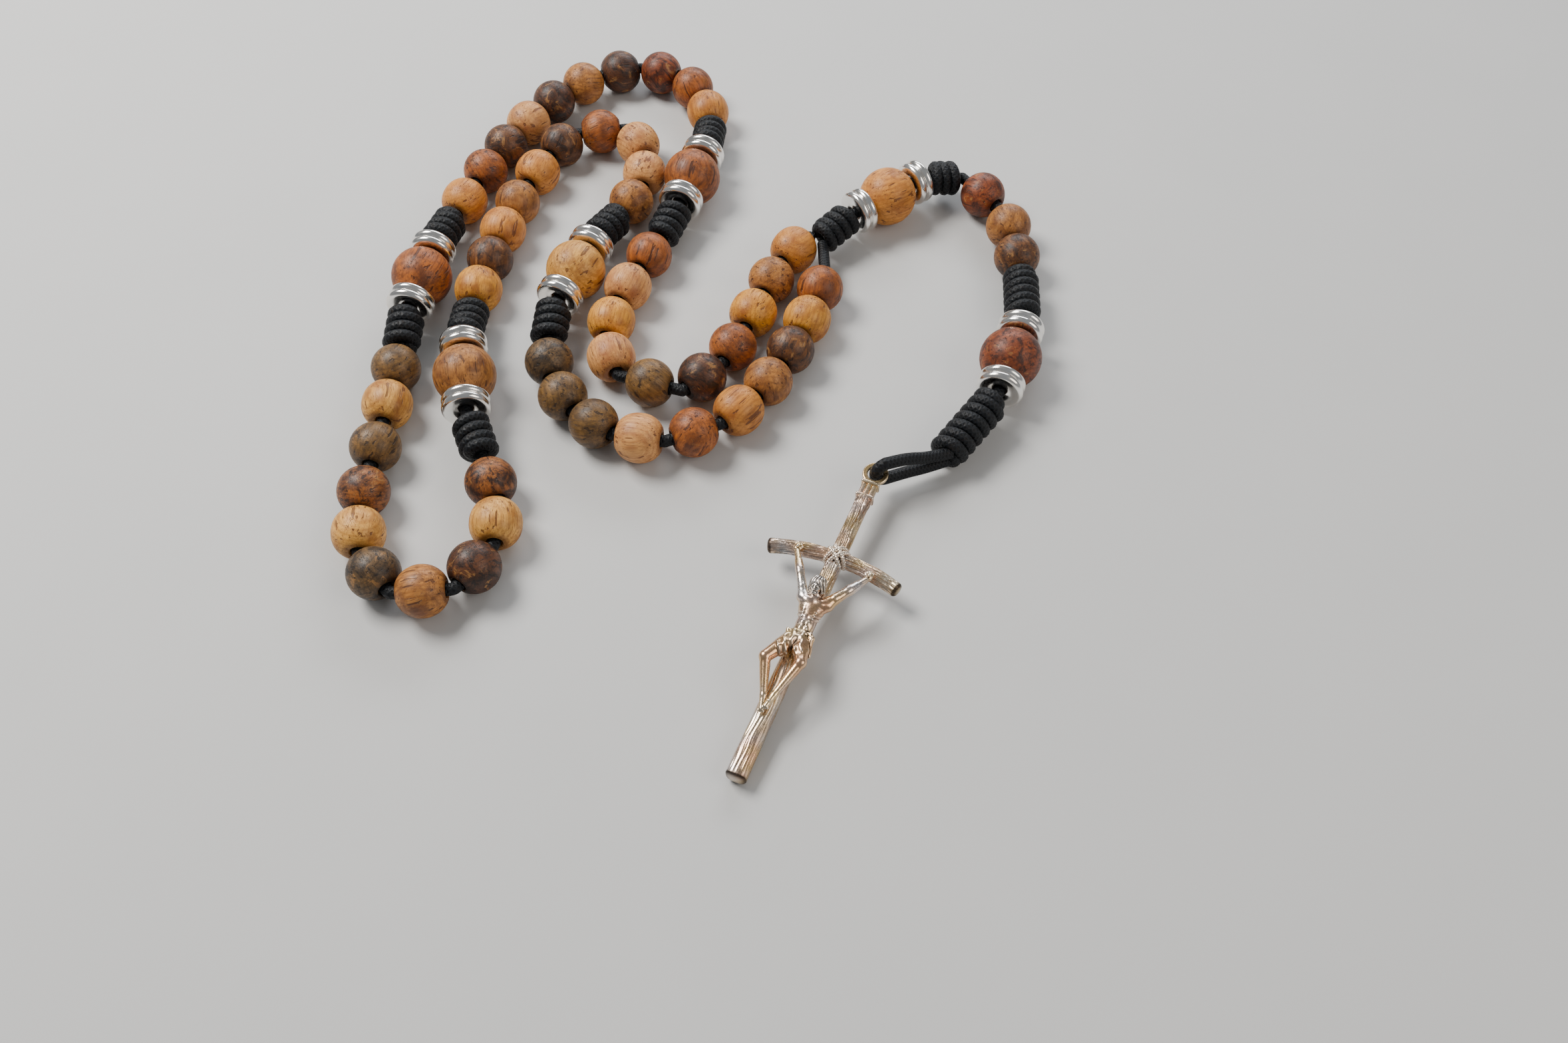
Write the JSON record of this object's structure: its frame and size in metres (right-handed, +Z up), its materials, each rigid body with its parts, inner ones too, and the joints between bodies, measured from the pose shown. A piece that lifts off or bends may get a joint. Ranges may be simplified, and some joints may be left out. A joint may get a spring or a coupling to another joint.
{
  "type": "rosary",
  "caption": "Rosary: wooden prayer beads in decades on a black cord, with metal spacer rings, wrapped knots and a metal crucifix on a short drop.",
  "frame": {"origin": "middle of the laid-out rosary in plan, on the table it lies on", "axes": "+Z up from the table; +Y from the crucifix foot towards the far end of the loop; +X towards the side where the drop with the crucifix hangs"},
  "size_m": [0.1128, 0.1531, 0.0102],
  "materials": {
    "small_wood": "oiled, each bead its own tone",
    "large_wood": "oiled",
    "ring_metal": "polished",
    "crucifix_metal": "cast, antiqued",
    "knot_cord": "waxed",
    "cord": "waxed"
  },
  "bodies": {
    "fork": {"center_knot": "knot_cord", "fork_left_beads": "small_wood", "fork_right_beads": "small_wood", "fork_left_cord": "cord", "fork_right_cord": "cord"},
    "middle": {"knot_1_in": "knot_cord", "knot_1_out": "knot_cord", "knot_4_in": "knot_cord", "knot_4_out": "knot_cord", "middle_decade_1_beads": "small_wood", "middle_decade_2_beads": "small_wood", "middle_decade_4_beads": "small_wood", "middle_decade_5_beads": "small_wood", "middle_left_cord": "cord", "middle_right_cord": "cord"},
    "arm": {"knot_2_in": "knot_cord", "knot_2_out": "knot_cord", "knot_3_in": "knot_cord", "knot_3_out": "knot_cord", "arm_decade_2_bead": "small_wood", "arm_decade_3_beads": "small_wood", "arm_decade_4_beads": "small_wood", "arm_left_cord": "cord", "arm_right_cord": "cord"},
    "bulb": {"bulb_beads": "small_wood", "bulb_cord": "cord"},
    "station_1": {"our_father_1": "large_wood", "ring_1_in": "ring_metal", "ring_1_out": "ring_metal"},
    "station_2": {"our_father_2": "large_wood", "ring_2_in": "ring_metal", "ring_2_out": "ring_metal"},
    "station_3": {"our_father_3": "large_wood", "ring_3_in": "ring_metal", "ring_3_out": "ring_metal"},
    "station_4": {"our_father_4": "large_wood", "ring_4_in": "ring_metal", "ring_4_out": "ring_metal"},
    "center_drop": {"center_cord": "cord", "knot_center_out": "knot_cord"},
    "center_station": {"our_father_center": "large_wood", "ring_center_in": "ring_metal", "ring_center_out": "ring_metal"},
    "intro_1": {"intro_bead_1": "small_wood", "intro_cord_1": "cord"},
    "intro_2": {"intro_bead_2": "small_wood", "intro_cord_2": "cord"},
    "intro_3": {"intro_bead_3": "small_wood", "intro_cord_3": "cord"},
    "pendant": {"knot_pendant_in": "knot_cord", "long_knot": "knot_cord", "pendant_cord": "cord"},
    "pendant_station": {"our_father_pendant": "large_wood", "ring_pendant_in": "ring_metal", "ring_pendant_out": "ring_metal"},
    "eye_loop": {"eye_cord": "cord"},
    "crucifix": {"crucifix_cross": "crucifix_metal", "crucifix_lashing": "crucifix_metal", "crucifix_corpus": "crucifix_metal"}
  },
  "joints": [
    {"name": "fork_fold", "type": "hinge", "parent": "fork", "child": "middle", "pos_m": [-0.00601, -0.01456, 0.004], "axis": [0.2114, 0.9774, 0], "range_deg": [0, 35], "deforming": ["fork_left_cord", "fork_right_cord", "middle_left_cord", "middle_right_cord"]},
    {"name": "arm_fold", "type": "hinge", "parent": "middle", "child": "arm", "pos_m": [-0.04034, 0.03949, 0.004], "axis": [-0.9896, 0.1441, 0], "range_deg": [0, 35], "deforming": ["middle_left_cord", "middle_right_cord", "arm_left_cord", "arm_right_cord"]},
    {"name": "bulb_fold", "type": "hinge", "parent": "arm", "child": "bulb", "pos_m": [-0.04354, -0.0201, 0.004], "axis": [-0.9077, 0.4196, 0], "range_deg": [0, 35], "deforming": ["arm_left_cord", "arm_right_cord", "bulb_cord"]},
    {"name": "center_swing", "type": "hinge", "parent": "fork", "child": "center_drop", "pos_m": [0.02343, 0.0306, 0.0051], "axis": [0, 0, 1], "range_deg": [0, 15], "deforming": ["center_cord"]},
    {"name": "intro_1_swing", "type": "hinge", "parent": "center_drop", "child": "intro_1", "pos_m": [0.04431, 0.04179, 0.004], "axis": [0, 0, 1], "range_deg": [0, 20], "deforming": ["center_cord", "intro_cord_1"]},
    {"name": "intro_2_swing", "type": "hinge", "parent": "intro_1", "child": "intro_2", "pos_m": [0.05099, 0.03259, 0.004], "axis": [0, 0, 1], "range_deg": [0, 20], "deforming": ["intro_cord_1", "intro_cord_2"]},
    {"name": "intro_3_swing", "type": "hinge", "parent": "intro_2", "child": "intro_3", "pos_m": [0.05201, 0.02524, 0.004], "axis": [0, 0, 1], "range_deg": [0, 18], "deforming": ["intro_cord_2", "intro_cord_3"]},
    {"name": "pendant_lift", "type": "hinge", "parent": "intro_3", "child": "pendant", "pos_m": [0.05242, 0.01743, 0.004], "axis": [-0.9966, 0.0827, 0], "range_deg": [0, 20], "deforming": ["intro_cord_3", "pendant_cord"]},
    {"name": "eye_lift", "type": "hinge", "parent": "pendant", "child": "eye_loop", "pos_m": [0.03614, -0.02272, 0.0034], "axis": [-0.3579, 0.9337, 0], "range_deg": [0, 40], "deforming": ["pendant_cord", "eye_cord"]},
    {"name": "crucifix_swing", "type": "hinge", "parent": "eye_loop", "child": "crucifix", "pos_m": [0.0255, -0.0268, 0.0048], "axis": [0, 0, 1], "range_deg": [-20, 50], "deforming": ["eye_cord"]},
    {"name": "station_1_spin", "type": "hinge", "parent": "middle", "child": "station_1", "pos_m": [-0.0053, 0.04068, 0.0051], "axis": [0.2699, 0.9629, 0], "continuous": true},
    {"name": "station_2_spin", "type": "hinge", "parent": "arm", "child": "station_2", "pos_m": [-0.05062, 0.0153, 0.0051], "axis": [-0.1342, -0.991, 0], "continuous": true},
    {"name": "station_3_spin", "type": "hinge", "parent": "arm", "child": "station_3", "pos_m": [-0.04012, -0.00701, 0.0051], "axis": [-0.1719, 0.9851, 0], "continuous": true},
    {"name": "station_4_spin", "type": "hinge", "parent": "middle", "child": "station_4", "pos_m": [-0.02435, 0.01685, 0.0051], "axis": [-0.3277, -0.9448, 0], "continuous": true},
    {"name": "center_spin", "type": "hinge", "parent": "center_drop", "child": "center_station", "pos_m": [0.03019, 0.03552, 0.0051], "axis": [0.8083, 0.5888, 0], "continuous": true},
    {"name": "pendant_spin", "type": "hinge", "parent": "pendant", "child": "pendant_station", "pos_m": [0.04849, -0.00337, 0.0051], "axis": [-0.3429, -0.9394, 0], "continuous": true}
  ]
}
